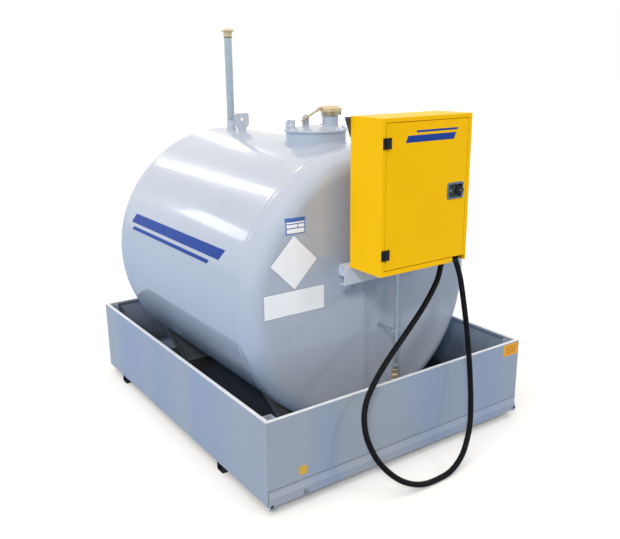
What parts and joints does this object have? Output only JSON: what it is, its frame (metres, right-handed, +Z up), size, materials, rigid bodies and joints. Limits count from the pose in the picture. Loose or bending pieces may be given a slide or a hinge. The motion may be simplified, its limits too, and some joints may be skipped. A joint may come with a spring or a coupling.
{
  "type": "fuel tank",
  "caption": "Horizontal cylindrical steel fuel tank on saddles in an open spill bund, with a manhole, vent pipe and a lockable pump cabinet.",
  "frame": {"origin": "on the floor under the middle of the whole outline, hose left out", "axes": "+Z up, -Y towards the pump cabinet's door, X across the tank, so the tank's axis runs along Y"},
  "size_m": [1.71, 2.3377, 2.245],
  "materials": {
    "bund_paint": "semi-gloss blue-grey paint",
    "skid_paint": "matt black paint",
    "tank_paint": "glossy light grey enamel",
    "galvanised": "galvanised",
    "brass": "cast, lightly tarnished",
    "yellow_paint": "satin powder coat",
    "black_plastic": "moulded",
    "lock_metal": "satin chrome plate",
    "cast_metal": "painted casting",
    "hose_rubber": "smooth extruded rubber"
  },
  "bodies": {
    "root": {"bund_floor": "bund_paint", "bund_front_wall": "bund_paint", "bund_back_wall": "bund_paint", "bund_left_wall": "bund_paint", "bund_right_wall": "bund_paint", "bund_front_strip": "bund_paint", "bund_back_strip": "bund_paint", "post_socket_front_left": "bund_paint", "post_socket_front_right": "bund_paint", "post_socket_back_left": "bund_paint", "post_socket_back_right": "bund_paint", "front_skid": "skid_paint", "back_skid": "skid_paint", "front_saddle": "bund_paint", "back_saddle": "bund_paint", "tank_shell": "tank_paint", "tank_front_end": "tank_paint", "tank_back_end": "tank_paint", "manhole_neck": "tank_paint", "manhole_lid": "tank_paint", "lid_ear": "tank_paint", "hasp_post": "tank_paint", "fill_pipe": "tank_paint", "fill_collar": "brass", "vent_socket": "tank_paint", "vent_pipe": "galvanised", "vent_cap": "brass", "lifting_lug": "tank_paint", "cabinet_box": "yellow_paint", "upper_hinge_fixed_leaf": "black_plastic", "lower_hinge_fixed_leaf": "black_plastic", "cabinet_rail": "tank_paint", "cabinet_hanger": "galvanised", "suction_pipe": "galvanised", "suction_valve": "brass", "suction_outlet": "galvanised", "pipe_clamp": "galvanised", "pump_body": "cast_metal", "pump_motor": "black_plastic", "flow_meter": "black_plastic", "nozzle": "black_plastic", "nozzle_holder": "galvanised", "hose": "hose_rubber"},
    "door": {"cabinet_door": "yellow_paint", "upper_hinge_door_leaf": "black_plastic", "lower_hinge_door_leaf": "black_plastic", "lock_plate": "lock_metal"},
    "knob": {"lock_knob": "black_plastic"},
    "cap": {"fill_cap": "brass"}
  },
  "joints": [
    {"name": "door_hinge", "type": "hinge", "parent": "root", "child": "door", "pos_m": [-0.1905, -1.04455, 1.418], "axis": [0, 0, -1], "range_deg": [0, 110]},
    {"name": "knob_turn", "type": "hinge", "parent": "door", "child": "knob", "pos_m": [0.28, -1.03775, 1.418], "axis": [0, -1, 0], "range_deg": [0, 90]},
    {"name": "cap_hinge", "type": "hinge", "parent": "root", "child": "cap", "pos_m": [0.1715, -0.21475, 1.7796], "axis": [0, 1, 0], "range_deg": [0, 110]}
  ]
}
